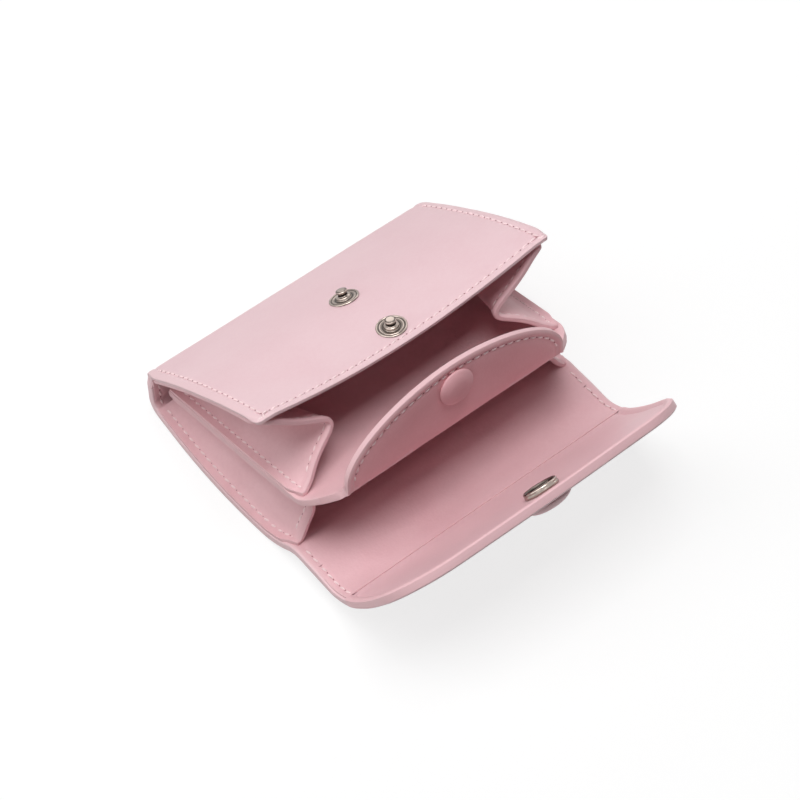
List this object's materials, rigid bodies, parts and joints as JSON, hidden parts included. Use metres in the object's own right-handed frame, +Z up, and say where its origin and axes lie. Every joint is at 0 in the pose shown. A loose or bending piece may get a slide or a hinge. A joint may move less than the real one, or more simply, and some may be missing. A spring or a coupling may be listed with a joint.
{
  "type": "card and coin wallet",
  "caption": "Small gusseted leather wallet, standing open, with a note compartment, a coin compartment with a half-round snap flap, and a wide snap flap that wraps over the front.",
  "frame": {"origin": "on the table, under the middle of the back panel's flat underside", "axes": "+Z up, +X to the wallet's right, -Y toward the open mouth and the main flap, +Y toward the folded spine"},
  "size_m": [0.1124, 0.1274, 0.0582],
  "materials": {
    "outer_leather": "smooth pale pink leather, fine grain, satin",
    "lining_leather": "smooth pink lining leather, satin",
    "gusset_leather": "thin smooth pink leather, satin",
    "stiffener_board": "bonded fibre board, matte",
    "nickel": "polished nickel plate"
  },
  "bodies": {
    "back": {"outer_back_and_spine": "outer_leather", "back_stiffener": "stiffener_board", "back_lining": "lining_leather", "spine_stiffener": "stiffener_board", "spine_lining": "lining_leather", "lower_gusset_left": "gusset_leather", "lower_gusset_right": "gusset_leather"},
    "divider": {"divider_lower_skin": "lining_leather", "divider_stiffener": "stiffener_board", "divider_upper_skin": "outer_leather", "upper_gusset_left": "gusset_leather", "upper_gusset_right": "gusset_leather"},
    "front_panel": {"front_lining": "lining_leather", "front_stiffener": "stiffener_board", "front_outer": "outer_leather", "main_snap_stud": "nickel", "main_stud_rivet": "nickel", "coin_snap_stud": "nickel", "coin_stud_rivet": "nickel"},
    "coin_flap_foot": {"coin_flap_hinge_strip": "outer_leather"},
    "coin_flap": {"coin_flap_outer": "outer_leather", "coin_flap_lining": "outer_leather", "coin_snap_socket": "nickel", "coin_cap": "nickel", "coin_cap_cover": "outer_leather"},
    "main_flap_base": {"flap_hinge_outer": "outer_leather", "flap_hinge_lining": "lining_leather"},
    "main_flap": {"flap_outer": "outer_leather", "flap_stiffener": "stiffener_board", "flap_lining": "lining_leather", "flap_facing": "outer_leather", "main_snap_socket": "nickel", "main_cap": "nickel", "main_cap_cover": "outer_leather"}
  },
  "joints": [
    {"name": "flap_close", "type": "hinge", "parent": "back", "child": "main_flap_base", "pos_m": [0, -0.03602, 0.00739], "axis": [-1, 0, 0], "range_deg": [0, 63.6]},
    {"name": "flap_fold", "type": "hinge", "parent": "main_flap_base", "child": "main_flap", "pos_m": [0, -0.05251, 0.00727], "axis": [-1, 0, 0], "range_deg": [0, 54.5]},
    {"name": "divider_swing", "type": "hinge", "parent": "back", "child": "divider", "pos_m": [0, 0.0359, 0.01524], "axis": [-1, 0, 0], "range_deg": [-14.5, 0], "deforming": ["lower_gusset_left", "lower_gusset_right"]},
    {"name": "front_panel_swing", "type": "hinge", "parent": "divider", "child": "front_panel", "pos_m": [0, 0.0359, 0.01524], "axis": [-1, 0, 0], "range_deg": [-18.7, 0], "deforming": ["upper_gusset_left", "upper_gusset_right"]},
    {"name": "coin_flap_foot_swing", "type": "hinge", "parent": "divider", "child": "coin_flap_foot", "pos_m": [0, -0.03376, 0.0282], "axis": [-1, 0, 0], "range_deg": [0, 39.8]},
    {"name": "coin_flap_fold", "type": "hinge", "parent": "coin_flap_foot", "child": "coin_flap", "pos_m": [0, -0.04188, 0.034], "axis": [-1, 0, 0], "range_deg": [0, 43]}
  ],
  "couplings": [
    {"joint": "flap_fold", "follows": "flap_close", "ratio": 0.85691},
    {"joint": "divider_swing", "follows": "flap_close", "ratio": -0.22798},
    {"joint": "front_panel_swing", "follows": "flap_close", "ratio": -0.29402},
    {"joint": "coin_flap_foot_swing", "follows": "flap_close", "ratio": 0.62578},
    {"joint": "coin_flap_fold", "follows": "flap_close", "ratio": 0.6761}
  ]
}
